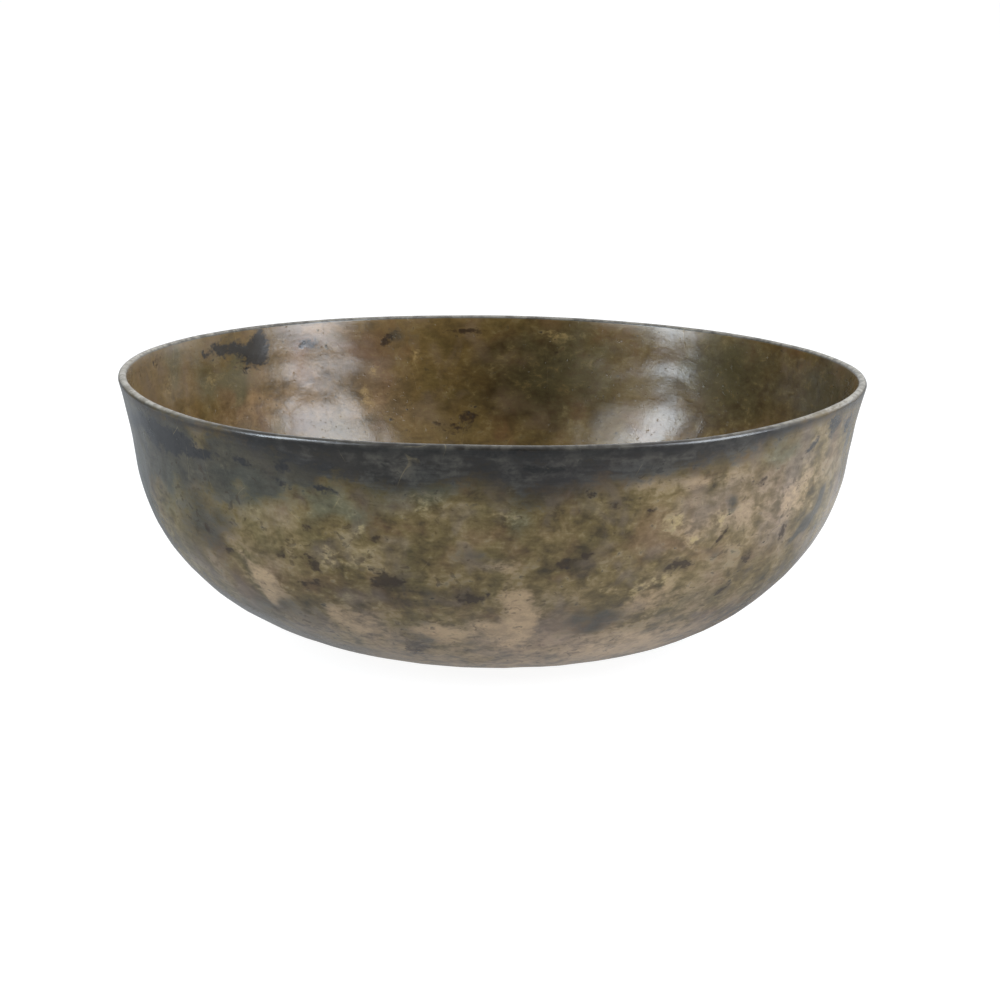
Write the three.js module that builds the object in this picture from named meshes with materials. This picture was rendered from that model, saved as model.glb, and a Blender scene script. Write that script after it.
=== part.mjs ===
// Hammered bronze bowl: one piece of metal, raised from a single disc.
// Millimetres, +Z up, origin at the middle of the flat that the bowl stands on.
import * as THREE from "three";

// Driving dimensions
const RIM_RADIUS = 140; // outside of the wall where the lip begins
const LIP_THICKNESS = 3.3; // the rim is upset thicker than the wall and rounded over
const LIP_TAPER = 16; // how far below the rim the extra thickness fades out, along the wall
const WALL_THICKNESS = 2.4;
const BASE_THICKNESS = 3.0; // under the flat, where the metal was stretched least
const BASE_TAPER = 60; // how far up the wall the extra thickness of the base fades out

// Outer wall, from the flat up to the rim, as arcs that meet in tangent. Each has its radius of
// curvature and the slope, in degrees above horizontal, at its upper end. A negative radius bends
// outwards, so the last arc is the flare of the rim.
const WALL_ARCS = [
  { radius: 94, endSlope: 51.5 },
  { radius: 72.5, endSlope: 81.3 },
  { radius: -221, endSlope: 74 },
];

// Resolution
const SEGMENTS_AROUND = 72;
const SLOPE_STEP = 5; // degrees of slope to each step up the wall
const FLARE_STEPS = 5;
const LIP_STEPS = 8;
const FLAT_STEPS = 2; // rings across the inside of the base

const radians = THREE.MathUtils.degToRad;

// Radial and vertical length of an arc between two slopes.
function arcSpan(radius, from, to) {
  return new THREE.Vector2(
    radius * (Math.sin(to) - Math.sin(from)),
    radius * (Math.cos(from) - Math.cos(to)),
  );
}

// The wall's outer line from the edge of the flat to the rim, as points with the slope and the
// distance along the wall at each.
function outerWall() {
  const arcs = [];
  let slope = 0;
  for (const { radius, endSlope } of WALL_ARCS) {
    arcs.push({ radius, from: slope, to: radians(endSlope) });
    slope = radians(endSlope);
  }
  const reach = arcs.reduce((sum, a) => sum + arcSpan(a.radius, a.from, a.to).x, 0);
  let point = new THREE.Vector2(RIM_RADIUS - reach, 0);
  let length = 0;
  const wall = [{ point, slope: 0, length }];
  for (const { radius, from, to } of arcs) {
    const steps =
      radius > 0 ? Math.ceil((to - from) / radians(SLOPE_STEP)) : FLARE_STEPS;
    for (let i = 1; i <= steps; i++) {
      const slopeHere = from + ((to - from) * i) / steps;
      wall.push({
        point: point.clone().add(arcSpan(radius, from, slopeHere)),
        slope: slopeHere,
        length: length + radius * (slopeHere - from),
      });
    }
    point = wall.at(-1).point;
    length = wall.at(-1).length;
  }
  return wall;
}

// Wall thickness at a distance along the wall from the flat.
function thickness(length, wholeLength) {
  const nearLip = THREE.MathUtils.smoothstep(length, wholeLength - LIP_TAPER, wholeLength);
  const nearBase = 1 - THREE.MathUtils.smoothstep(length, 0, BASE_TAPER);
  return (
    WALL_THICKNESS +
    (LIP_THICKNESS - WALL_THICKNESS) * nearLip +
    (BASE_THICKNESS - WALL_THICKNESS) * nearBase
  );
}

// Unit vector from the outer line into the metal.
function inward(slope) {
  return new THREE.Vector2(-Math.sin(slope), Math.cos(slope));
}

// Half circle over the top of the rim, from the outer line to the inner line.
function lip(rim) {
  const radius = LIP_THICKNESS / 2;
  const centre = rim.point.clone().addScaledVector(inward(rim.slope), radius);
  const points = [];
  for (let i = 1; i < LIP_STEPS; i++) {
    const angle = rim.slope - Math.PI / 2 + (Math.PI * i) / LIP_STEPS;
    points.push(
      new THREE.Vector2(Math.cos(angle), Math.sin(angle))
        .multiplyScalar(radius)
        .add(centre),
    );
  }
  return points;
}

// Closed half section of the bowl, from the axis under the base to the axis inside it.
function halfSection() {
  const wall = outerWall();
  const rim = wall.at(-1);
  const outer = wall.map(({ point }) => point);
  const inner = wall.map(({ point, slope, length }) =>
    point.clone().addScaledVector(inward(slope), thickness(length, rim.length)),
  );
  const flatEdge = inner[0];
  const flat = [];
  for (let i = 1; i <= FLAT_STEPS; i++)
    flat.push(new THREE.Vector2(flatEdge.x * (1 - i / FLAT_STEPS), flatEdge.y));
  return [
    new THREE.Vector2(0, 0),
    ...outer,
    ...lip(rim),
    ...inner.reverse(),
    ...flat,
  ];
}

function bowl() {
  const geometry = new THREE.LatheGeometry(halfSection(), SEGMENTS_AROUND);
  geometry.rotateX(Math.PI / 2); // the lathe's own axis is Y
  const patinatedBronze = new THREE.MeshStandardMaterial({
    color: 0x6f5f42,
    roughness: 0.42,
    metalness: 1,
  });
  const mesh = new THREE.Mesh(geometry, patinatedBronze);
  mesh.name = "bowl";
  return mesh;
}

const part = new THREE.Group();
part.add(bowl());

export default part;
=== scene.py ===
"""Looks of the hammered bronze bowl, in metres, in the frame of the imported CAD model."""

import math
from types import SimpleNamespace

import bpy
import numpy as np
from mathutils import Matrix, Vector, kdtree, noise


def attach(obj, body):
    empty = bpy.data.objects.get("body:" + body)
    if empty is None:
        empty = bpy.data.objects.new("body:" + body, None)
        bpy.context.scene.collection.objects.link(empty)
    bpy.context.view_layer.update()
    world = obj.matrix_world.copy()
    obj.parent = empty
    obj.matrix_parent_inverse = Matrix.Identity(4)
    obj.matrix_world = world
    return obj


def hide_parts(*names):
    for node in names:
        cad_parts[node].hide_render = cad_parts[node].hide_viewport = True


MM = 0.001
SEED = 7

# The bowl's section, the same as in CAD. Arcs that meet in tangent: radius, slope at the upper end.
RIM_RADIUS = 140 * MM
LIP_THICKNESS = 3.3 * MM
LIP_TAPER = 16 * MM
WALL_THICKNESS = 2.4 * MM
BASE_THICKNESS = 3.0 * MM
BASE_TAPER = 60 * MM
WALL_ARCS = ((94 * MM, 51.5), (72.5 * MM, 81.3), (-221 * MM, 74))

# Mesh
WALL_STEP = 1.75 * MM
BASE_STEP = 2.6 * MM
LIP_STEPS = 12
MOST_SEGMENTS = 576
FEWEST_SEGMENTS = 9
NARROWEST_SEGMENT = 0.62  # as a share of one at the rim

# Sides of the section
OUTSIDE, LIP, INSIDE = range(3)

# Hammer marks: spacing, depth in the middle of a mark, and how much wider than high it is
OUTSIDE_MARKS = (10 * MM, 0.22 * MM, 1.0)
INSIDE_MARKS = (12 * MM, 0.19 * MM, 1.5)
# As shares of the spacing: from course to course, how far courses and marks stray, a mark's radius
COURSE_GAP = 0.85
COURSE_STRAY = 0.2
STRAY_AROUND = 0.35
STRAY_UP = 0.3
MARK_RADII = (0.75, 1.05)
MARK_STRENGTHS = (0.5, 1.25)  # as shares of the depth
NEAREST_MARKS = 4  # one of them is the deepest at a point
# The lip was dressed smooth: how far down, and how much of the marks is left at its top
DRESSED = 9 * MM
LEFT_ON_LIP = 0.25

# Rim and wall are a little out of true: lobes around, size, phase in degrees from the front.
# No lobes means the same all round.
RIM_WAVE = (
    (0, 0.31 * MM, 0), (1, 0.4 * MM, -22), (2, 1.09 * MM, 155), (4, 0.33 * MM, -20),
    (5, 0.28 * MM, -17), (6, 0.12 * MM, -28),
)
OUT_OF_ROUND = ((2, 1.6 * MM, -84), (3, 0.8 * MM, 166))
# Smaller swells without a pattern: size, depth, seed
WALL_SWELLS = ((42 * MM, 0.35 * MM, 1), (17 * MM, 0.08 * MM, 2))
RIM_SWELLS = ((28 * MM, 0.12 * MM, 3),)
# Heights between which the wall starts to stray, and the height where the rim's wave starts
WALL_STRAYS = (2 * MM, 25 * MM)
RIM_WAVE_START = 45 * MM

# Patches of patina, and of painted light and shade: angle from the front in degrees, height, half
# width, half height (mm), strength, lean in degrees. Outside first, then inside.
TONES = {
    "stain": (
        (
            (-45, 51, 5, 1.8, 1, 0), (-49, 59, 2, 5, 0.7, 0),
            (-28, 66, 3, 2, 0.8, 0), (-34, 54, 2.5, 3.5, 0.8, 0), (-29, 52, 6, 3, 1, -35),
            (-30, 44, 6, 2.5, 0.8, 0), (-17, 64, 3.5, 2, 0.9, 0), (-16, 49, 7, 4, 1.1, -20),
            (-2, 43, 8, 2.5, 1, 0), (11, 57, 3, 4.5, 0.9, 20), (14, 59, 4, 1.5, 1, 5),
            (7, 51, 3, 1.8, 0.7, 0), (18, 77, 2, 1.7, 1, 0), (14, 82, 3, 1.5, 0.9, -35),
            (6, 91, 7, 2, 0.9, 0), (2, 97, 7, 1.5, 0.9, 0), (-15, 19, 4, 6, 0.8, -40),
            (24, 74, 2, 2, 1.1, 0), (30, 52, 5, 3.5, 1, -25), (42, 39, 5, 3, 1, 25),
            (37, 60, 7, 1.6, 1, 40), (53, 57, 3, 5.5, 1, 12), (46, 52, 4, 2.5, 0.8, 30),
            (44, 79, 2.5, 2, 0.8, 0), (95, 60, 7, 4, 1, 0), (112, 42, 9, 5, 1, 20),
            (131, 71, 5, 3, 1, 0), (150, 50, 12, 5, 1, -15), (172, 35, 6, 6, 1, 0),
            (188, 66, 8, 4, 0.9, 10), (206, 48, 6, 4, 1, 30), (229, 60, 9, 4, 1, -10),
            (251, 38, 7, 5, 1, 0), (270, 70, 5, 4, 0.9, 0), (290, 47, 6, 4, 1, 15),
        ),
        (
            (216, 90, 3, 1.7, 0.9, 0), (200, 91, 5, 2, 0.7, 0), (200, 88, 2.5, 1.7, 1.1, 0),
            (230, 83, 5, 2, 0.7, 0), (184, 93, 8, 1.5, 0.8, 0), (256, 94, 4, 2, 0.7, 0),
            (186, 54, 7, 4, 0.7, 0), (170, 85, 5, 2, 0.6, 0), (140, 60, 4, 9, 0.5, 0),
            (85, 60, 9, 6, 0.9, 0), (40, 72, 7, 5, 0.9, 0), (5, 50, 9, 6, 0.9, 20),
            (320, 64, 7, 7, 0.9, 0), (288, 40, 9, 5, 0.9, 0), (60, 14, 9, 7, 0.8, 0),
        ),
    ),
    "dark": (
        (
            (-70, 88, 7, 3, 1.3, 0), (-62, 89, 10, 4, 1.5, 0), (-54, 88, 11, 3.5, 1.5, 0),
            (-47, 88, 7, 2.6, 1.2, 0), (-56, 82, 8, 3, 0.5, 0), (-39, 87, 8, 1.5, 1, -8),
            (-31, 88, 4, 3, 0.9, 0), (-32, 81, 6, 1.4, 0.9, -25), (-25, 81, 6, 1.4, 1, -12),
            (-82, 86, 3, 5, 0.8, 10), (-36, 92, 9, 3, 0.4, 0), (-24, 90, 12, 5, 0.7, 0),
            (61, 92, 8, 3, 1.1, 0), (69, 89, 6, 5, 1.1, 0), (56, 87, 3, 2.5, 0.7, 0),
            (118, 84, 10, 3, 0.9, 0), (196, 82, 9, 3, 0.9, 0), (240, 88, 12, 3, 0.9, 0),
        ),
        (
            (226, 91, 6, 6, 1.2, 0), (231, 92, 13, 2.2, 1.2, 0), (236, 93, 7, 2, 0.8, 0),
            (229, 87, 10, 4, 0.6, 0), (214.5, 90, 3.5, 1.5, 0.9, 0), (217, 92, 6, 1.1, 0.7, 0),
            (60, 84, 12, 5, 0.7, 0),
        ),
    ),
    # Bluish tarnish; the large patches on the left of the outside are also painted shade on that side
    "blue": (
        (
            (-68, 82, 36, 13, 1.6, 0), (-38, 85, 20, 9, 1.4, 0), (-52, 84, 22, 8, 0.9, 0),
            (-29, 86, 12, 6, 1.1, 0), (-80, 44, 12, 34, 1.2, 0),
            (-62, 20, 34, 9, 1.2, 0), (-40, 10, 24, 6, 0.9, 0), (-49, 63, 16, 12, 0.6, 0),
            (-54, 50, 10, 12, 0.4, 0),
            (-41, 31, 14, 6, 0.6, 0), (-30, 32, 12, 6, 0.3, 0), (-14, 28, 9, 5, 0.5, 0),
            (-47, 57, 12, 9, 0.3, 0), (-38, 70, 10, 7, 0.3, 0),
            (18, 32, 12, 6, 1, 5), (-10, 44, 4, 4, 0.7, 0), (6, 80, 5, 5, 0.7, 0),
            (38, 75, 4, 4, 1, 0), (61, 59.5, 3.2, 12, 1.8, -49),
            (-60, 93, 20, 5, 0.8, 0), (-40, 93, 12, 4, 0.7, 0), (73, 84, 5, 9, 0.9, 0),
            (20, 90, 9, 3.5, 0.8, 0), (38, 56, 5, 2.5, 0.6, 0), (-46, 80, 12, 6, 0.8, 0),
            (-2, 59, 7, 3, 0.6, 0), (-74, 56, 14, 30, 1.1, 0), (-97, 64, 14, 12, 0.5, 20),
            (-101, 36, 13, 9, 0.5, -20), (-4, 22, 4, 2, 0.6, 0),
            (-12, 22, 5, 4, 0.6, 0), (120, 25, 16, 9, 0.9, 0), (165, 78, 12, 8, 0.8, 0),
            (215, 30, 18, 8, 0.9, 10), (262, 55, 12, 14, 0.8, 0),
        ),
        (
            (229, 91, 16, 7, 0.6, 0), (216, 91, 9, 4, 0.4, 0),
            (197, 90, 7, 4, 0.7, 0), (30, 86, 16, 7, 0.9, 0),
            (330, 60, 12, 12, 0.7, 0), (95, 84, 8, 9, 0.6, 0),
        ),
    ),
    "worn": (
        (
            (5, 34, 6, 8.5, 1.4, 0), (1, 29, 7, 4, 1.2, 0), (-9, 27, 8, 3, 0.9, 0),
            (2, 56, 4, 3, 0.6, 0), (4, 46, 4, 3, 0.4, 0), (-40, 41, 4, 9, 1.6, 28),
            (-26, 29, 9, 5, 0.9, 0), (-44, 58, 6, 5, 0.6, 0), (-50, 73, 6, 3, 0.5, 0),
            (33, 84, 12, 3, 0.7, 0), (31, 65, 6, 4, 0.7, 0), (54, 70, 12, 8, 0.7, 0),
            (42, 70, 15, 9, 0.35, 0), (24, 85, 9, 3, 0.6, 0), (30, 16, 24, 7, 0.7, 0),
            (27, 39, 16, 6, 0.7, 0),
            (104, 72, 14, 7, 0.8, 0), (140, 36, 9, 14, 1, 15), (181, 52, 16, 7, 0.8, 0),
            (220, 70, 10, 9, 0.8, 0), (246, 22, 20, 7, 0.9, 0),
        ),
        (
            (230, 67, 12, 8, 0.8, 0), (214, 82, 16, 10, 0.6, 0), (206, 62, 16, 6, 0.6, 0),
            (212, 96, 12, 2, 1, 0), (218, 69, 20, 8, 0.5, 0),
            (20, 40, 14, 10, 0.8, 0), (100, 30, 14, 8, 0.8, 0), (300, 80, 12, 9, 0.7, 0),
        ),
    ),
    "gold": (
        (
            (-38, 70, 5, 4, 0.6, 0), (-25, 56, 4, 4, 0.45, 0), (-20, 57, 8, 6, 0.3, 0),
            (-42, 84, 2, 5, 0.5, -20), (-20, 68, 4, 1.7, 0.6, 35), (-55, 67, 4, 3, 0.4, 0),
            (-11, 81, 8, 3, 0.6, 0), (-13, 90, 4, 3, 0.5, 0), (2, 73, 5, 4, 0.5, 0),
            (-9, 76, 4, 2, 0.4, 0), (8, 81, 2, 1.7, 0.6, 0), (3, 83, 2, 1.7, 0.6, 0),
            (18, 45, 4, 1.5, 0.6, 10), (25, 45, 8, 2.5, 1.3, 8), (28, 69, 3.5, 2.5, 1.3, 0),
            (36, 68, 3, 2.5, 0.7, 0), (32, 62, 4, 1.5, 0.7, 0), (80, 50, 6, 4, 0.6, 0),
            (125, 56, 9, 5, 0.7, 0), (158, 62, 7, 4, 0.6, 0), (195, 80, 9, 4, 0.6, 0),
            (238, 52, 7, 5, 0.6, 0), (280, 84, 8, 4, 0.6, 0),
        ),
        (
            (204, 67, 3.5, 4, 0.6, 0), (202, 78, 5, 2.5, 0.6, 0), (194, 84, 2, 2, 0.6, 0),
            (253, 84, 3, 3, 0.5, 0), (238, 83, 5, 5, 0.5, 0), (170, 92, 6, 2, 0.6, 0),
            (50, 60, 9, 6, 0.6, 0), (350, 80, 9, 5, 0.6, 0),
        ),
    ),
    "olive": (
        (
            (-24, 76, 16, 7, 1, 0), (-38, 79, 16, 8, 0.9, 0), (-9, 84, 14, 6, 0.8, 0),
            (-58, 74, 12, 14, 0.7, 0), (49, 88, 11, 5, 0.8, 0), (4, 72, 4, 6, 0.6, 0),
            (100, 84, 26, 9, 0.9, 0), (170, 62, 30, 12, 0.9, 0), (235, 78, 30, 12, 0.9, 0),
            (285, 62, 18, 16, 0.8, 0),
        ),
        (
            (135, 82, 26, 18, 1, 0), (105, 82, 26, 16, 1, 0), (168, 76, 26, 22, 0.8, 0),
            (240, 84, 10, 9, 0.9, 0), (232, 84, 6, 10, 0.8, 0), (233, 78, 12, 6, 0.7, 0),
            (250, 90, 6, 6, 0.8, 0), (30, 70, 34, 20, 0.8, 0),
            (310, 50, 30, 18, 0.8, 0),
        ),
    ),
    "rosy": (
        (
            (44, 66, 44, 28, 0.5, 0), (20, 22, 40, 12, 0.4, 0), (0, 30, 18, 9, 0.2, 0),
            (-44, 34, 20, 12, 0.4, 0), (130, 60, 30, 16, 0.5, 0), (255, 66, 26, 16, 0.4, 0),
        ),
        (
            (212, 80, 26, 30, 1.2, 0), (232, 66, 18, 10, 0.9, 0), (140, 62, 20, 14, 0.7, 0),
            (0, 40, 40, 30, 0.5, 0),
        ),
    ),
    # Lighter where positive, darker where negative: the patina's own tone, with painted light and
    # shade, such as the darker left of the outside and the darker middle and right of the far wall
    # inside
    "shade": (
        (
            (40, 68, 30, 18, 0.9, 0), (30, 44, 24, 8, 0.9, 0), (20, 22, 30, 9, 0.5, 0),
            (0, 27, 20, 7, 0.5, 0),
            (-7, 62, 14, 9, 0.3, 0), (8, 66, 10, 5, 0.3, 0), (5, 75, 6, 6, -0.7, 0),
            (12, 55, 12, 6, -0.6, 0), (-3, 44, 12, 5, -0.6, 0), (-28, 47, 12, 9, -0.5, 0),
            (-22, 40, 12, 5, -0.4, 0), (-48, 52, 8, 10, -0.5, 0), (3, 82, 30, 4, -0.5, 0),
            (24, 57, 14, 4, -0.4, 0), (-52, 62, 12, 14, -0.7, 0), (-38, 33, 16, 8, -0.7, 0),
            (6, 41, 8, 4, -0.6, 0), (39, 79, 12, 7, -0.5, 0), (130, 60, 30, 16, 0.5, 0),
            (200, 50, 30, 14, -0.5, 0), (255, 66, 26, 16, 0.4, 0), (165, 26, 26, 10, 0.5, 0),
        ),
        (
            (135, 80, 34, 22, -1.5, 0), (105, 82, 34, 22, -1.5, 0), (172, 74, 28, 26, -1.6, 0),
            (238, 80, 20, 12, 0.2, 0), (215, 75, 20, 5, -0.3, 0), (20, 60, 40, 20, 0.3, 0),
        ),
    ),
}

# The dark, blue-grey band below the rim: how far down it reaches (mm) at each angle
RIM_BAND = (
    (-90, 1), (-72, 1), (-55, 2), (-42, 3), (-30, 11), (-14, 19), (-4, 14), (8, 19), (16, 14),
    (28, 12), (37, 10), (45, 6), (55, 1), (66, 2), (80, 3), (100, 5), (125, 12), (150, 8),
    (175, 17), (200, 9), (225, 14), (250, 6),
)
BAND_FADE = 12 * MM  # over which its lower edge fades out
# The outlines of patches wander by noise of this size, at most this far (mm), in two directions
WANDER_SIZE = 9 * MM
MOST_WANDER = 8
WANDER_SEEDS = (5, 6)
# Grime and painted shade in the angle under the lip: how far below the top of the rim, and half width
GRIME_AND_SHADE_BELOW = 2.6 * MM
GRIME_AND_SHADE_WIDTH = 1.4 * MM
# Painted light from the floor: heights between which the lighter tone at the bottom of the outside
# wall fades out
FLOOR_LIT_FOOT = (8 * MM, 45 * MM)
# Rubbing of the lip's crest, with a painted highlight where the lip turns to the sides: how strong it
# is in front, and how much less it is at the back than at the sides, where it is full. Then the
# cosines of the angle around where one turns into the other, and how the front part is shifted on the
# right and on the left.
RUBBED_AHEAD = 0.25
LESS_BEHIND = 0.45
AHEAD_TO_SIDEWAYS = (0.75, 0.35)
SIDEWAYS_TO_BEHIND = (-0.2, -0.9)
SHIFT_RIGHT = -0.14
SHIFT_LEFT = 0.12
# How far up the metal faces where the rubbing and its painted highlight start, in front and at the
# sides, and where they are full
CREST_AHEAD = 0.85
CREST_SIDEWAYS = 0.35
CREST_FULL = 0.97


# ---------------------------------------------------------------------------------------------
# Section


def smoothstep(low, high, x):
    t = np.clip((x - low) / (high - low), 0, 1)
    return t * t * (3 - 2 * t)


def distance_along(points):
    """Distance of each point from the first, along the line through them."""
    return np.concatenate([[0], np.cumsum(np.linalg.norm(np.diff(points, axis=0), axis=1))])


def arc(start, radius, from_slope, to_slope):
    """Points and slopes along an arc that leaves start at from_slope, without start itself."""
    steps = math.ceil(abs(radius * (to_slope - from_slope)) / WALL_STEP)
    slopes = np.linspace(from_slope, to_slope, steps + 1)[1:]
    across = radius * (np.sin(slopes) - math.sin(from_slope))
    upwards = radius * (math.cos(from_slope) - np.cos(slopes))
    return start + np.stack([across, upwards], 1), slopes


def outer_wall():
    """Outer line from the edge of the flat to the rim: points (r, z), and the slope at each."""
    bends = [0.0] + [math.radians(slope) for _, slope in WALL_ARCS]
    arcs = [(radius, a, b) for (radius, _), a, b in zip(WALL_ARCS, bends, bends[1:])]
    reach = sum(radius * (math.sin(b) - math.sin(a)) for radius, a, b in arcs)
    points = [np.array([[RIM_RADIUS - reach, 0.0]])]
    slopes = [np.zeros(1)]
    for radius, a, b in arcs:
        arc_points, arc_slopes = arc(points[-1][-1], radius, a, b)
        points.append(arc_points)
        slopes.append(arc_slopes)
    return np.concatenate(points), np.concatenate(slopes)


def wall_thickness(along):
    """Thickness at each distance along the outer wall from the flat."""
    near_lip = smoothstep(along[-1] - LIP_TAPER, along[-1], along)
    near_base = 1 - smoothstep(0, BASE_TAPER, along)
    return (
        WALL_THICKNESS
        + (LIP_THICKNESS - WALL_THICKNESS) * near_lip
        + (BASE_THICKNESS - WALL_THICKNESS) * near_base
    )


def section():
    """The half section from the axis under the base, over the lip, to the axis inside.

    Returns points (r, z), outward normals and which side of the bowl each point is on.
    """
    wall, slopes = outer_wall()
    into = np.stack([-np.sin(slopes), np.cos(slopes)], 1)
    inner = wall + into * wall_thickness(distance_along(wall))[:, None]

    flat_steps = math.ceil(wall[0, 0] / BASE_STEP)
    flat = np.linspace(0, 1, flat_steps + 1)[:-1, None] * wall[0, 0]
    under = np.concatenate([flat, np.zeros_like(flat)], 1)
    floor = np.concatenate([flat, np.full_like(flat, BASE_THICKNESS)], 1)

    half = LIP_THICKNESS / 2
    turn = slopes[-1] - math.pi / 2 + math.pi * np.arange(1, LIP_STEPS) / LIP_STEPS
    lip_normal = np.stack([np.cos(turn), np.sin(turn)], 1)
    lip = wall[-1] + into[-1] * half + lip_normal * half

    points = np.concatenate([under, wall, lip, inner[::-1], floor[::-1]])
    down, up = (np.tile([0.0, z], (flat_steps, 1)) for z in (-1.0, 1.0))
    normals = np.concatenate([down, -into, lip_normal, into[::-1], up])
    counts = [len(under) + len(wall), len(lip), len(inner) + len(floor)]
    return points, normals, np.repeat([OUTSIDE, LIP, INSIDE], counts)


def ring_segments(radius):
    """Fewer segments on smaller rings, halved each time so that neighbours can be joined."""
    if radius == 0:
        return 1
    count = MOST_SEGMENTS
    narrowest = RIM_RADIUS / MOST_SEGMENTS * NARROWEST_SEGMENT
    while count > FEWEST_SEGMENTS and radius < count * narrowest:
        count //= 2
    return count


# ---------------------------------------------------------------------------------------------
# Mesh


def ring_faces(a, count_a, b, count_b):
    """Faces between ring a and the next ring b, given by first vertex and number of segments."""
    if count_a == 1:
        return [(a, b + (j + 1) % count_b, b + j) for j in range(count_b)]
    if count_b == 1:
        return [(a + j, a + (j + 1) % count_a, b) for j in range(count_a)]
    if count_a == count_b:
        n = count_a
        return [(a + j, a + (j + 1) % n, b + (j + 1) % n, b + j) for j in range(n)]
    if count_a > count_b:
        return halving_faces(a, count_a, b, count_b)
    return [face[::-1] for face in halving_faces(b, count_b, a, count_a)]


def halving_faces(fine, many, coarse, few):
    """Three triangles for each segment of the coarse ring, which meets two of the fine ring."""
    faces = []
    for j in range(few):
        f = [fine + 2 * j, fine + 2 * j + 1, fine + (2 * j + 2) % many]
        c = [coarse + j, coarse + (j + 1) % few]
        faces += [(f[0], f[1], c[0]), (f[1], c[1], c[0]), (f[1], f[2], c[1])]
    return faces


def revolve():
    """The even bowl: its vertices with normal, side and angle around, and its faces."""
    rings, faces = [], []
    total, before = 0, None
    for (r, z), (nr, nz), side in zip(*section()):
        count = ring_segments(r)
        angle = 2 * math.pi * np.arange(count) / count
        around = np.stack([np.sin(angle), -np.cos(angle)], 1)  # angle 0 is the front, -Y
        co = np.column_stack([r * around, np.full(count, z)])
        normal = np.column_stack([nr * around, np.full(count, nz)])
        rings.append((co, normal, np.full(count, side), angle))
        if before:
            faces += ring_faces(*before, total, count)
        before = (total, count)
        total += count
    co, normal, side, angle = (np.concatenate(values) for values in zip(*rings))
    return SimpleNamespace(co=co, normal=normal, side=side, angle=angle), faces


def stray(rng, share):
    return rng.uniform(-share, share)


def strike_points(points, spacing, rng):
    """Where the hammer fell on one side of the section: courses of marks around the bowl."""
    along = distance_along(points)
    strikes = []
    for s in np.arange(spacing / 2, along[-1], spacing * COURSE_GAP):
        course = s + stray(rng, COURSE_STRAY) * spacing
        r = np.interp(course, along, points[:, 0])
        count = max(1, round(2 * math.pi * r / spacing))
        start = rng.uniform(0, 2 * math.pi)
        for k in range(count):
            angle = start + 2 * math.pi * (k + stray(rng, STRAY_AROUND)) / count
            here = course + stray(rng, STRAY_UP) * spacing
            r, z = (np.interp(here, along, points[:, i]) for i in (0, 1))
            strikes.append((r * math.sin(angle), -r * math.cos(angle), z))
    return strikes


def hammered(co, points, marks, rng):
    """Depth of the hammer marks at each vertex: shallow dishes, the deepest one where they meet."""
    spacing, depth, wider = marks
    strikes = strike_points(points, spacing, rng)
    weights = rng.uniform(*MARK_STRENGTHS, len(strikes))
    radii = rng.uniform(*MARK_RADII, len(strikes)) * spacing
    tree = kdtree.KDTree(len(strikes))
    for i, (x, y, z) in enumerate(strikes):
        tree.insert((x, y, z * wider), i)
    tree.balance()
    out = np.zeros(len(co))
    for i, (x, y, z) in enumerate(co):
        for _, k, distance in tree.find_n((x, y, z * wider), NEAREST_MARKS):
            out[i] = max(out[i], weights[k] * (1 - (distance / radii[k]) ** 2))
    return out * depth


def hammer_depth(even):
    """Depth of the marks on both sides of the bowl, shallower on the lip."""
    rng = np.random.default_rng(SEED)
    points, _, side = section()
    depth = np.zeros(len(even.co))
    for which, marks in ((OUTSIDE, OUTSIDE_MARKS), (INSIDE, INSIDE_MARKS)):
        here = even.side == which
        depth[here] = hammered(even.co[here], points[side == which], marks, rng)
    height = even.co[:, 2]
    below_lip = smoothstep(height.max(), height.max() - DRESSED, height)
    return depth * (LEFT_ON_LIP + (1 - LEFT_ON_LIP) * below_lip)


def rolling(co, size, seed):
    """Smooth noise from -1 to 1 with features of about that size."""
    shift = Vector((seed * 3.1, seed * 7.7, seed * 1.3))  # another part of the noise for each seed
    return np.array([noise.noise(Vector(p) / size + shift) for p in co])


def swells(co, kinds):
    return sum(depth * rolling(co, size, seed) for size, depth, seed in kinds)


def lobes(angle, waves):
    """Sum of waves around the bowl: number of lobes, height, and where a crest is, in degrees."""
    return sum(high * np.cos(n * angle - math.radians(crest)) for n, high, crest in waves)


def shape_bowl(even):
    """Where the vertices of the even bowl are once it has been hammered by hand."""
    moved = even.co - even.normal * hammer_depth(even)[:, None]
    height = even.co[:, 2]
    # The wall strays sideways, both faces together, and the flat stays flat
    sideways = swells(even.co, WALL_SWELLS) + lobes(even.angle, OUT_OF_ROUND)
    sideways *= smoothstep(*WALL_STRAYS, height)
    moved[:, 0] += np.sin(even.angle) * sideways
    moved[:, 1] -= np.cos(even.angle) * sideways
    upwards = lobes(even.angle, RIM_WAVE) + swells(even.co, RIM_SWELLS)
    moved[:, 2] += upwards * smoothstep(RIM_WAVE_START, height.max(), height)
    return moved


def patch(angle, radius, height, wander, spots):
    """How strong the listed patches are on one side of the wall, added up.

    A spot is its angle in degrees, its height, its half width and half height, its strength and
    how far it leans, all in mm or degrees. Its outline wanders, so it isn't an ellipse.
    """
    out = np.zeros(len(angle))
    for degrees, up, wide, tall, strength, lean in spots:
        around = (angle - math.radians(degrees) + math.pi) % (2 * math.pi) - math.pi
        u = around * radius + wander[0] * min(wide, MOST_WANDER)
        v = height - up * MM + wander[1] * min(tall, MOST_WANDER)
        c, d = math.cos(math.radians(lean)), math.sin(math.radians(lean))
        far = np.hypot((u * c + v * d) / (wide * MM), (v * c - u * d) / (tall * MM))
        out += strength * np.exp(-far * far)
    return out


def band_depth(angle):
    """How far down the band below the rim reaches."""
    turns, depths = zip(*RIM_BAND)
    return np.interp(np.degrees(angle), turns, depths, period=360) * MM


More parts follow.
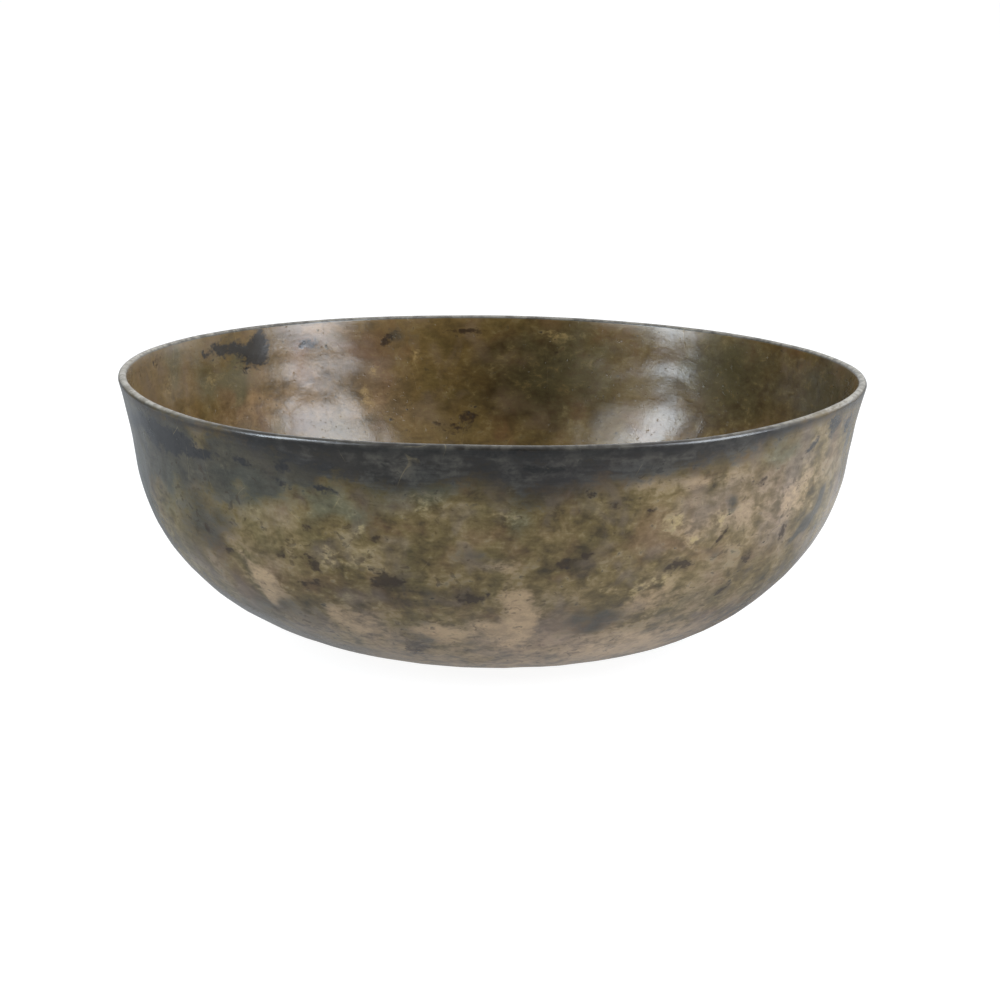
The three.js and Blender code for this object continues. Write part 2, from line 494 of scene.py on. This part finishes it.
def rubbed_and_glinting_crest(angle, normal):
    """How far the crest of the lip is rubbed to metal, with a painted highlight: most of all at the
    sides.
    """
    sin, cos = np.sin(angle), np.cos(angle)
    ahead = cos + np.where(sin > 0, SHIFT_RIGHT, SHIFT_LEFT * sin)
    sideways = smoothstep(*AHEAD_TO_SIDEWAYS, ahead)
    behind = smoothstep(*SIDEWAYS_TO_BEHIND, cos)
    rubbed = RUBBED_AHEAD + (1 - RUBBED_AHEAD) * sideways - LESS_BEHIND * behind
    lowest = CREST_AHEAD + (CREST_SIDEWAYS - CREST_AHEAD) * sideways
    return rubbed * smoothstep(lowest, CREST_FULL, normal[:, 2])


def tone_maps(even):
    """How strongly each tone of the patina, and each painted light and shade, is laid on at each
    vertex.
    """
    radius, height = np.hypot(even.co[:, 0], even.co[:, 1]), even.co[:, 2]
    below = height.max() - height
    wander = np.array([rolling(even.co, WANDER_SIZE, seed) for seed in WANDER_SEEDS]) * MM
    inside = (even.side == INSIDE).astype(float)
    outside = 1 - inside
    maps = {"inside": inside}
    for tone, sides in TONES.items():
        outer, inner = (patch(even.angle, radius, height, wander, spots) for spots in sides)
        maps[tone] = outer * outside + inner * inside
    in_band = (band_depth(even.angle) - below) / BAND_FADE + 0.5
    maps["rim_band"] = outside * np.clip(in_band, 0, 1)
    # Dirt and painted shade in the angle under the lip
    maps["grime"] = outside * np.exp(-(((below - GRIME_AND_SHADE_BELOW) / GRIME_AND_SHADE_WIDTH) ** 2))
    # Painted light from the floor, strongest at the bottom of the outside
    maps["foot"] = outside * (1 - smoothstep(*FLOOR_LIT_FOOT, height))
    # The lip's rubbed crest, with a painted highlight at the sides
    maps["crest"] = (even.side == LIP) * rubbed_and_glinting_crest(even.angle, even.normal)
    return maps


def bowl_mesh():
    even, faces = revolve()
    mesh = bpy.data.meshes.new("hammered_bowl")
    mesh.from_pydata(shape_bowl(even).tolist(), [], faces)
    mesh.polygons.foreach_set("use_smooth", [True] * len(mesh.polygons))
    for name, values in tone_maps(even).items():
        layer = mesh.attributes.new(name, "FLOAT", "POINT")
        layer.data.foreach_set("value", values.astype(np.float32))
    mesh.update()
    return mesh


# ---------------------------------------------------------------------------------------------
# Node trees


class NodeTree:
    """The nodes of a material or of the world, with a short call for each kind."""

    def __init__(self, tree, place):
        self.nodes, self.links = tree.nodes, tree.links
        self.place = self.nodes.new("ShaderNodeTexCoord").outputs[place]

    def put(self, socket, value):
        """Links the socket to another node's output, or gives it a fixed value."""
        if isinstance(value, bpy.types.NodeSocket):
            self.links.new(value, socket)
        else:
            socket.default_value = value

    def make(self, kind, *values):
        """A node whose first inputs are those values."""
        node = self.nodes.new(kind)
        for socket, value in zip(node.inputs, values):
            self.put(socket, value)
        return node

    def math(self, operation, *values):
        node = self.make("ShaderNodeMath", *values)
        node.operation = operation
        return node.outputs[0]

    def times(self, a, b):
        return self.math("MULTIPLY", a, b)

    def most(self, first, *others):
        for other in others:
            first = self.math("MAXIMUM", first, other)
        return first

    def add(self, *weighed):
        """Sum of (value, weight) pairs."""
        total = 0.0
        for value, weight in weighed:
            total = self.math("MULTIPLY_ADD", value, weight, total)
        return total

    def step(self, value, low, high, start=0.0, end=1.0):
        """Smooth rise of value from start, at low, to end, at high."""
        node = self.make("ShaderNodeMapRange", value, low, high, start, end)
        node.interpolation_type = "SMOOTHSTEP"
        return node.outputs[0]

    def away(self, centre):
        """Distance from a point."""
        node = self.make("ShaderNodeVectorMath", self.place, centre)
        node.operation = "DISTANCE"
        return node.outputs["Value"]

    def blend(self, amount, a, b, how="MIX"):
        """Colour a with that amount of colour b."""
        node = self.nodes.new("ShaderNodeMix")
        node.data_type, node.blend_type = "RGBA", how
        self.put(node.inputs["Factor"], amount)
        colours = [socket for socket in node.inputs if socket.type == "RGBA"]
        for socket, value in zip(colours, (a, b)):
            self.put(socket, value)
        return next(socket for socket in node.outputs if socket.type == "RGBA")

    def tint(self, amount, colour, by):
        return self.blend(amount, colour, by, "MULTIPLY")

    def map(self, name):
        """A tone map of the mesh."""
        node = self.nodes.new("ShaderNodeAttribute")
        node.attribute_name = name
        return node.outputs["Fac"]

    def by_side(self, outside, inside):
        """One value outside the bowl and another inside."""
        return self.step(self.map("inside"), 0, 1, outside, inside)

    def noise(self, size, detail, rough=0.5, warp=0.0, turn=(0, 0, 0), squeeze=(1, 1, 1)):
        """Noise about 0.5, with features of about that size, turned by degrees and squeezed."""
        mapping = self.nodes.new("ShaderNodeMapping")
        self.put(mapping.inputs["Vector"], self.place)
        mapping.inputs["Rotation"].default_value = [math.radians(a) for a in turn]
        mapping.inputs["Scale"].default_value = squeeze
        node = self.nodes.new("ShaderNodeTexNoise")
        self.put(node.inputs["Vector"], mapping.outputs[0])
        node.inputs["Scale"].default_value = 1 / size
        node.inputs["Detail"].default_value = detail
        node.inputs["Roughness"].default_value = rough
        node.inputs["Distortion"].default_value = warp
        return node.outputs[0]

    def seen_or_met(self, seen, met):
        """One level where the camera sees it, and another as light on things."""
        node = self.nodes.new("ShaderNodeMix")
        camera_ray = self.nodes.new("ShaderNodeLightPath").outputs["Is Camera Ray"]
        for name, value in (("Factor", camera_ray), ("A", met), ("B", seen)):
            self.put(node.inputs[name], value)
        return node.outputs["Result"]


def new_material(name):
    """A material, its node tree and the inputs of its surface."""
    material = bpy.data.materials.new(name)
    material.use_nodes = True
    tree = NodeTree(material.node_tree, "Object")
    return material, tree, tree.nodes["Principled BSDF"].inputs


# ---------------------------------------------------------------------------------------------
# Patinated bronze

# Colours of the metal and its patina (linear)
COLOURS = {
    "deep": (0.082, 0.055, 0.020, 1),
    "brown": (0.215, 0.150, 0.052, 1),
    "tan": (0.385, 0.278, 0.145, 1),
    "russet": (0.220, 0.120, 0.058, 1),
    "mauve": (0.235, 0.175, 0.127, 1),
    "moss": (0.140, 0.130, 0.052, 1),
    "olive": (0.140, 0.135, 0.080, 1),
    "pink": (0.56, 0.395, 0.235, 1),
    "gold": (0.54, 0.41, 0.20, 1),
    "blue": (0.050, 0.049, 0.042, 1),
    "band": (0.026, 0.024, 0.024, 1),
    "band_dark": (0.012, 0.012, 0.011, 1),
    "band_pale": (0.068, 0.063, 0.055, 1),
    "stain": (0.045, 0.025, 0.012, 1),
    # rubbed metal of the lip's crest, which also carries its painted highlight
    "bare_and_glint": (0.50, 0.45, 0.37, 1),
}
ROSY_TINT = (0.97, 0.96, 1.4, 1)  # where the metal shows less golden
INSIDE_TINT_AND_SHADE = (0.66, 0.565, 0.425, 1)  # warmer inside, and deeper there as painted shade in the hollow of the bowl
DEEP_TINT = (0.70, 0.64, 0.50, 1)  # painted shade where the shade map is lowest, on the middle and right of the far wall inside

# The most that each layer hides of what is under it
COVER = {
    "russet": 0.5, "moss": 0.22, "mauve": 0.6, "olive": 0.8, "gold": 0.8, "blue": 0.8,
    "band": 0.93, "scratch": 0.18, "stain": 0.9, "grime": 0.85,
}
# The same, outside and inside
PINK_COVER = (0.9, 0.4)
CRUMB_COVER = (0.5, 0.15)
# How strong clouds and mottling are, outside and inside: the inside is more even
CLOUD_STRENGTH = (1, 0.5)
MOTTLE_STRENGTH = (1, 0.6)

# Noises: size, detail, roughness, warp, turn in degrees, squeeze
NOISES = {
    "broad": (34 * MM, 2),
    "hue": (19 * MM, 3, 0.5, 0.6),
    "drift": (15 * MM, 3, 0.5, 0.5),
    "cloud": (13 * MM, 3, 0.5, 0.8),
    "flake": (5.5 * MM, 3, 0.55, 0.5, (0, 0, 0), (1, 1, 1.5)),
    "crumb": (3.4 * MM, 2, 0.5, 0.6, (20, 0, 0), (1, 1, 1.35)),
    "grain": (2.3 * MM, 3, 0.55, 0.3, (0, 0, 0), (1, 1, 1.5)),
    "pitting": (1.6 * MM, 3, 0.6),
    "brushed": (1.3 * MM, 2, 0.5, 0, (0, 0, 0), (0.1, 0.1, 1)),
    "fine": (0.9 * MM, 2),
}

# Scratches in two directions: turn in degrees, and size of the noise that draws them
SCRATCHES = (((0, 38, 20), 24 * MM), ((25, -52, 0), 17 * MM))
SCRATCH_SQUEEZE = (1, 1, 0.45)

# Half metal and half dull patina, under a smoother coat
SURFACE = {
    "Metallic": 0.5,
    "Specular IOR Level": 0.12,
    "Coat Weight": 1.0,
    "Coat IOR": 1.42,
    "Coat Roughness": 0.23,
}


def lay(s, name, amount, colour):
    """Lays the named colour over what is there."""
    return s.blend(s.times(amount, COVER[name]), colour, COLOURS[name])


def ragged(s, tone, edge, low, high, reach=1.0):
    """A patch of tone whose edge breaks up."""
    return s.step(s.add((s.map(tone), 1.0), (edge, reach)), low, high)


def patina_noises(s):
    """The noises by name, and two sums of them about 0 that break up the edges of patches."""
    n = SimpleNamespace(**{name: s.noise(*how) for name, how in NOISES.items()})
    n.edge = s.add((n.cloud, 1.2), (n.flake, 1.6), (n.grain, 1.0), (1.0, -1.9))
    n.crisp = s.add((n.flake, 1.6), (n.grain, 1.6), (n.crumb, 1.0), (1.0, -2.1))
    return n


def ground(s, n):
    """Lighter and darker clouds of brown with the painted light and shade of the shade map, which
    drift towards russet, moss and mauve.
    """
    clouds = s.add(
        (n.broad, 0.6), (n.cloud, 0.85), (n.flake, 0.6), (n.grain, 0.2), (n.brushed, 0.15),
        (1.0, -1.2),
    )
    # The shade map adds painted light and shade to the tone
    tone = s.add((s.times(clouds, s.by_side(*CLOUD_STRENGTH)), 1.0), (s.map("shade"), 0.2))  # about 0
    colour = s.blend(s.step(tone, -0.36, 0.10), COLOURS["deep"], COLOURS["brown"])
    colour = s.blend(s.step(tone, -0.08, 0.48), colour, COLOURS["tan"])
    colour = lay(s, "russet", s.step(n.hue, 0.50, 0.72), colour)
    colour = lay(s, "moss", s.step(n.hue, 0.50, 0.30), colour)
    rosy = s.step(s.add((s.map("rosy"), 0.6), (n.broad, 1.0)), 0.5, 1.0)
    colour = s.tint(rosy, colour, ROSY_TINT)
    # More mauve towards the bottom of the outside, from the painted floor light
    drift = s.add((n.drift, 1.0), (s.map("foot"), 0.1))
    return lay(s, "mauve", s.step(drift, 0.48, 0.70), colour)


def patches(s, n, colour):
    """Olive patches, metal worn to pink, flecks of gold, and bluish tarnish that also paints shade
    down the left of the outside.
    """
    colour = lay(s, "olive", ragged(s, "olive", n.edge, 0.0, 1.0, 0.7), colour)
    # The bottom of the outside turns lighter and pinker: painted light from the floor
    worn = s.add((s.map("worn"), 1.0), (s.map("foot"), 0.5), (n.edge, 0.6))
    pinkness = s.step(worn, 0.1, 1.1, 0, s.by_side(*PINK_COVER))
    colour = s.blend(pinkness, colour, COLOURS["pink"])
    flecks = s.step(n.grain, 0.36, 0.66, 0.2, 1)
    colour = lay(s, "gold", s.times(ragged(s, "gold", n.edge, 0.1, 1.0), flecks), colour)
    # Bluish tarnish, with painted shade down the left of the outside
    return lay(s, "blue", ragged(s, "blue", n.edge, 0.2, 1.0, 0.7), colour)


def band(s, n):
    """How strong the band under the rim and the dark streaks are."""
    under_rim = ragged(s, "rim_band", n.edge, 0.05, 0.95, 0.7)
    streaks = ragged(s, "dark", n.crisp, 0.2, 0.9, 0.9)
    return s.times(s.most(under_rim, streaks), COVER["band"])


def band_colour(s, n):
    """Near black, with paler clouds outside the darkest streaks."""
    clouds = s.add(
        (n.flake, 0.8), (n.cloud, 0.9), (n.grain, 0.4), (n.brushed, 0.5), (s.map("dark"), -0.5)
    )
    return s.blend(s.step(clouds, 1.15, 1.6), COLOURS["band"], COLOURS["band_pale"])


def scratches(s, turn, size):
    """Thin curved scratches: short stretches of the contour lines of smooth noise."""
    smooth = s.noise(size, 0, turn=turn, squeeze=SCRATCH_SQUEEZE)
    contour = s.math("ABSOLUTE", s.add((smooth, 1), (1, -0.5)))
    here = s.noise(size * 0.45, 1, turn=turn, squeeze=SCRATCH_SQUEEZE)
    return s.times(s.step(contour, 0.0028, 0.0012), s.step(here, 0.6, 0.66))


def stains_and_lip_shade(s, n):
    """How strong the stain marks are: the placed ones, crumbs all over, and dirt with painted shade
    in the angle under the lip.
    """
    crumbs = s.step(s.add((n.crumb, 1.0), (n.hue, -0.5), (n.cloud, 0.5)), 0.66, 0.76)
    return s.most(
        ragged(s, "stain", n.crisp, 0.3, 0.9, 0.85),
        s.times(crumbs, s.by_side(*CRUMB_COVER)),
        s.times(s.map("grime"), COVER["grime"]),
    )


def mottled(s, n, colour):
    """Fine mottling, a deeper colour inside with painted shade in the hollow, and painted shade
    deepest where the shade map is lowest.
    """
    mottle = s.add(
        (n.cloud, 0.6), (n.flake, 1.0), (n.grain, 0.5), (n.fine, 0.3), (n.brushed, 0.2), (1.0, -1.3)
    )
    colour = s.tint(s.by_side(*MOTTLE_STRENGTH), colour, s.step(mottle, -0.4, 0.4, 0.74, 1.26))
    # Warmer inside, with painted shade that deepens the hollow
    colour = s.tint(s.map("inside"), colour, INSIDE_TINT_AND_SHADE)
    # Painted shade where the shade map is lowest
    return s.tint(s.step(s.map("shade"), -0.7, -1.6), colour, DEEP_TINT)


def relief(s, n, stain, lines):
    """Normal of the fine unevenness that is too small for the mesh."""
    pits = s.step(n.pitting, 0.36, 0.26)
    bump = s.nodes.new("ShaderNodeBump")
    bump.inputs["Strength"].default_value = 1.0
    bump.inputs["Distance"].default_value = 1.0
    height = s.add(
        (n.cloud, 0.12 * MM), (n.flake, 0.06 * MM), (n.grain, 0.02 * MM), (pits, -0.05 * MM),
        (stain, -0.04 * MM), (n.brushed, 0.012 * MM), (lines, -0.01 * MM),
    )
    s.put(bump.inputs["Height"], height)
    return bump.outputs[0]


def patinated_bronze():
    material, s, surface = new_material("patinated_bronze")
    n = patina_noises(s)
    colour = patches(s, n, ground(s, n))
    dark = band(s, n)
    colour = s.blend(dark, colour, band_colour(s, n))
    lines = s.most(*(scratches(s, turn, size) for turn, size in SCRATCHES))
    colour = s.blend(s.times(lines, COVER["scratch"]), colour, COLOURS["gold"])
    # Stains, with the painted shade under the lip among them
    stain = stains_and_lip_shade(s, n)
    stain_colour = s.blend(dark, COLOURS["stain"], COLOURS["band_dark"])
    colour = s.blend(s.times(stain, COVER["stain"]), colour, stain_colour)
    colour = mottled(s, n, colour)
    patchy = s.step(s.add((n.flake, 0.6), (n.grain, 0.5)), 0.42, 0.66, 0.35, 1.0)
    # Rubbed metal on the lip's crest, with a painted highlight at the sides
    colour = s.blend(s.times(s.map("crest"), patchy), colour, COLOURS["bare_and_glint"])
    s.put(surface["Base Color"], colour)
    dull = s.add((stain, 0.1), (n.cloud, 0.25), (n.grain, 0.1), (1.0, 0.43))
    s.put(surface["Roughness"], dull)
    uneven = relief(s, n, stain, lines)
    s.put(surface["Normal"], uneven)
    s.put(surface["Coat Normal"], uneven)
    for name, value in SURFACE.items():
        surface[name].default_value = value
    return material


# ---------------------------------------------------------------------------------------------
# Studio

# Camera: distance from the middle of the rim, degrees above it, and how far it is then turned
# down past the rim, turned aside and rolled, in degrees
RIM_HEIGHT = 99 * MM
CAMERA_DISTANCE = 1.2
CAMERA_ABOVE = 10.3
CAMERA_TURN = (2.28, -0.14, 0.8)
SENSOR_WIDTH = 36
LENS = 114.5

# Soft boxes: place, width and height, power, colour. All face a point in the bowl.
SOFT_BOXES = {
    "box_right": ((1.44, -0.46, 0.82), (0.75, 1.1), 31, (0.85, 0.94, 1.06)),
    "box_left": ((-1.36, -0.60, 0.88), (0.37, 1.2), 30, (0.8, 0.9, 1)),
    "box_front": ((-1.08, -0.98, 0.90), (0.4, 0.9), 5, (0.8, 0.9, 1)),
    "box_back": ((1.05, 0.8, 0.4), (0.4, 0.5), 1, (0.9, 0.95, 1)),
    "overhead": ((0.3, 0.4, 2.2), (1.8, 1.8), 5, (1, 1, 1)),
}
LIT_POINT = (0, 0, 60 * MM)

# The room is dark in front on the left and pale at the back, on the right and overhead
ROOM_DARK, ROOM_PALE = 0.05, 0.6
ROOM_FADE = (-0.2, 1.0)
ROOM_UPWARDS = 0.9  # how much height counts, next to right and back
ROOM_COLOUR = (0.96, 0.98, 1.0, 1)

# The floor glows around the bowl, and more on the right. Each fade is two distances from the
# centre of the glow, and the levels there.
FLOOR_SIZE = 24
GLOW_CENTRE = (0.11, 0.01, 0)
GLOW_RISE = (0.03, 0.11, 0.0, 0.30)
GLOW_FALL = (0.12, 0.33, 1.0, 0.0)
FLOOR_GREYS = (0.2, 0.34)  # as the camera sees it, and as it lights the bowl
# Levels that the camera sees, in place of what lights the bowl
FLOOR_SEEN = 0.92
ROOM_SEEN = 1.0


def camera():
    """A long lens from in front and a little above."""
    above = math.radians(CAMERA_ABOVE)
    back = Vector((0, -math.cos(above), math.sin(above)))
    place = Vector((0, 0, RIM_HEIGHT)) + CAMERA_DISTANCE * back
    data = bpy.data.cameras.new("camera")
    data.lens = LENS
    data.sensor_width = SENSOR_WIDTH
    data.clip_start, data.clip_end = 0.05, 60
    cam = bpy.data.objects.new("camera", data)
    down, aside, roll = (math.radians(a) for a in CAMERA_TURN)
    turn = Matrix.Rotation(math.pi / 2 - above, 4, "X")
    turn = turn @ Matrix.Rotation(aside, 4, "Y") @ Matrix.Rotation(-down, 4, "X")
    cam.matrix_world = Matrix.Translation(place) @ turn @ Matrix.Rotation(roll, 4, "Z")
    bpy.context.scene.collection.objects.link(cam)
    bpy.context.scene.camera = cam


def soft_box(name, place, size, power, colour):
    data = bpy.data.lights.new(name, "AREA")
    data.shape = "RECTANGLE"
    data.size, data.size_y = size
    data.energy = power
    data.color = colour
    light = bpy.data.objects.new(name, data)
    light.location = place
    aim = Vector(LIT_POINT) - light.location
    light.rotation_euler = aim.to_track_quat("-Z", "Y").to_euler()
    bpy.context.scene.collection.objects.link(light)


def room():
    world = bpy.data.worlds.new("studio")
    world.use_nodes = True
    w = NodeTree(world.node_tree, "Generated")
    x, y, z = w.make("ShaderNodeSeparateXYZ", w.place).outputs
    lean = w.add((y, 1.0), (x, 1.0), (z, ROOM_UPWARDS))
    level = w.step(lean, *ROOM_FADE, ROOM_DARK, ROOM_PALE)
    background = w.nodes["Background"].inputs
    background["Color"].default_value = ROOM_COLOUR
    w.put(background["Strength"], w.seen_or_met(ROOM_SEEN, level))
    bpy.context.scene.world = world


def lit_floor():
    """A white table that glows around the bowl, as a light table does."""
    bpy.ops.mesh.primitive_plane_add(size=FLOOR_SIZE)
    floor = bpy.context.object
    floor.name = "floor"
    material, f, surface = new_material("floor_white")
    away = f.away(GLOW_CENTRE)
    glow = f.times(f.step(away, *GLOW_RISE), f.step(away, *GLOW_FALL))
    f.put(surface["Base Color"], f.seen_or_met(*FLOOR_GREYS))
    f.put(surface["Emission Strength"], f.seen_or_met(FLOOR_SEEN, glow))
    surface["Emission Color"].default_value = (1, 1, 1, 1)
    surface["Roughness"].default_value = 0.9
    surface["Specular IOR Level"].default_value = 0.1
    floor.data.materials.append(material)


def studio():
    room()
    for name, settings in SOFT_BOXES.items():
        soft_box(name, *settings)
    lit_floor()
    bpy.context.scene.view_settings.view_transform = "Standard"


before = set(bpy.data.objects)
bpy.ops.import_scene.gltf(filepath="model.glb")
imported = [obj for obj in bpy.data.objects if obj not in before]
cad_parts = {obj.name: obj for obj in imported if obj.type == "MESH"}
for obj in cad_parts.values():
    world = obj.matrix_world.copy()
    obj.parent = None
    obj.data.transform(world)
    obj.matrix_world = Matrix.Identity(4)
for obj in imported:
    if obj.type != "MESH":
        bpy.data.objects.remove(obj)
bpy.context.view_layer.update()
studio()
camera()
bowl = bpy.data.objects.new("hammered_bowl", bowl_mesh())
bpy.context.scene.collection.objects.link(bowl)
bowl.data.materials.append(patinated_bronze())
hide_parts("bowl")
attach(bowl, "root")
